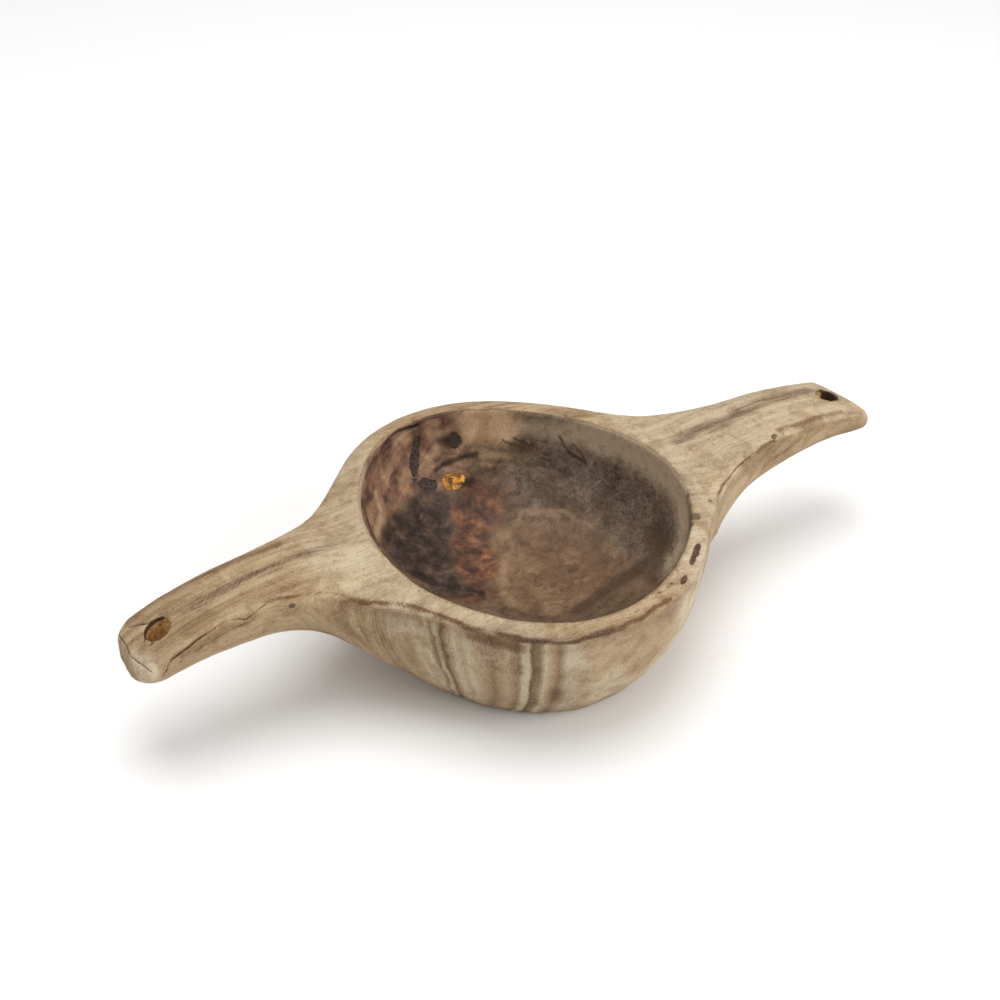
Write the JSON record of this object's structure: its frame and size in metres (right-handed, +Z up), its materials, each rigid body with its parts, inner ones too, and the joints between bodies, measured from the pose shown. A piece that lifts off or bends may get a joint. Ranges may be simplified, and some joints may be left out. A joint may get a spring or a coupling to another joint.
{
  "type": "carved wooden bowl",
  "caption": "Oval bowl carved from one block of wood with a drilled handle at each end, for serving or hanging display, with natural bark, resin and knot inclusions.",
  "frame": {"origin": "on the table plane, under the middle of the overall bounding box", "axes": "+X along the handles towards the narrow, slant-cut right handle; +Y towards the far side of the bowl; +Z up, out of the bowl's mouth"},
  "size_m": [0.4994, 0.2454, 0.0933],
  "materials": {
    "body_wood": "pale carved hardwood, lightly oiled satin, burnt dark figure inside the bowl",
    "dark_bark": "rough dry ingrown bark",
    "resin": null,
    "knot_wood": "dense brown knot wood, satin",
    "red_bark": "rough reddish-brown ingrown bark"
  },
  "bodies": {
    "root": {"carved_body": "body_wood", "bark_sliver": "dark_bark", "bark_pocket": "dark_bark", "resin_lump": "resin", "wall_knot": "knot_wood", "rim_knot_large": "knot_wood", "rim_knot_small": "knot_wood", "rim_bark_strip": "red_bark", "rim_bark_patch": "red_bark", "right_pin_knot": "knot_wood", "left_pin_knot": "knot_wood"}
  },
  "joints": []
}
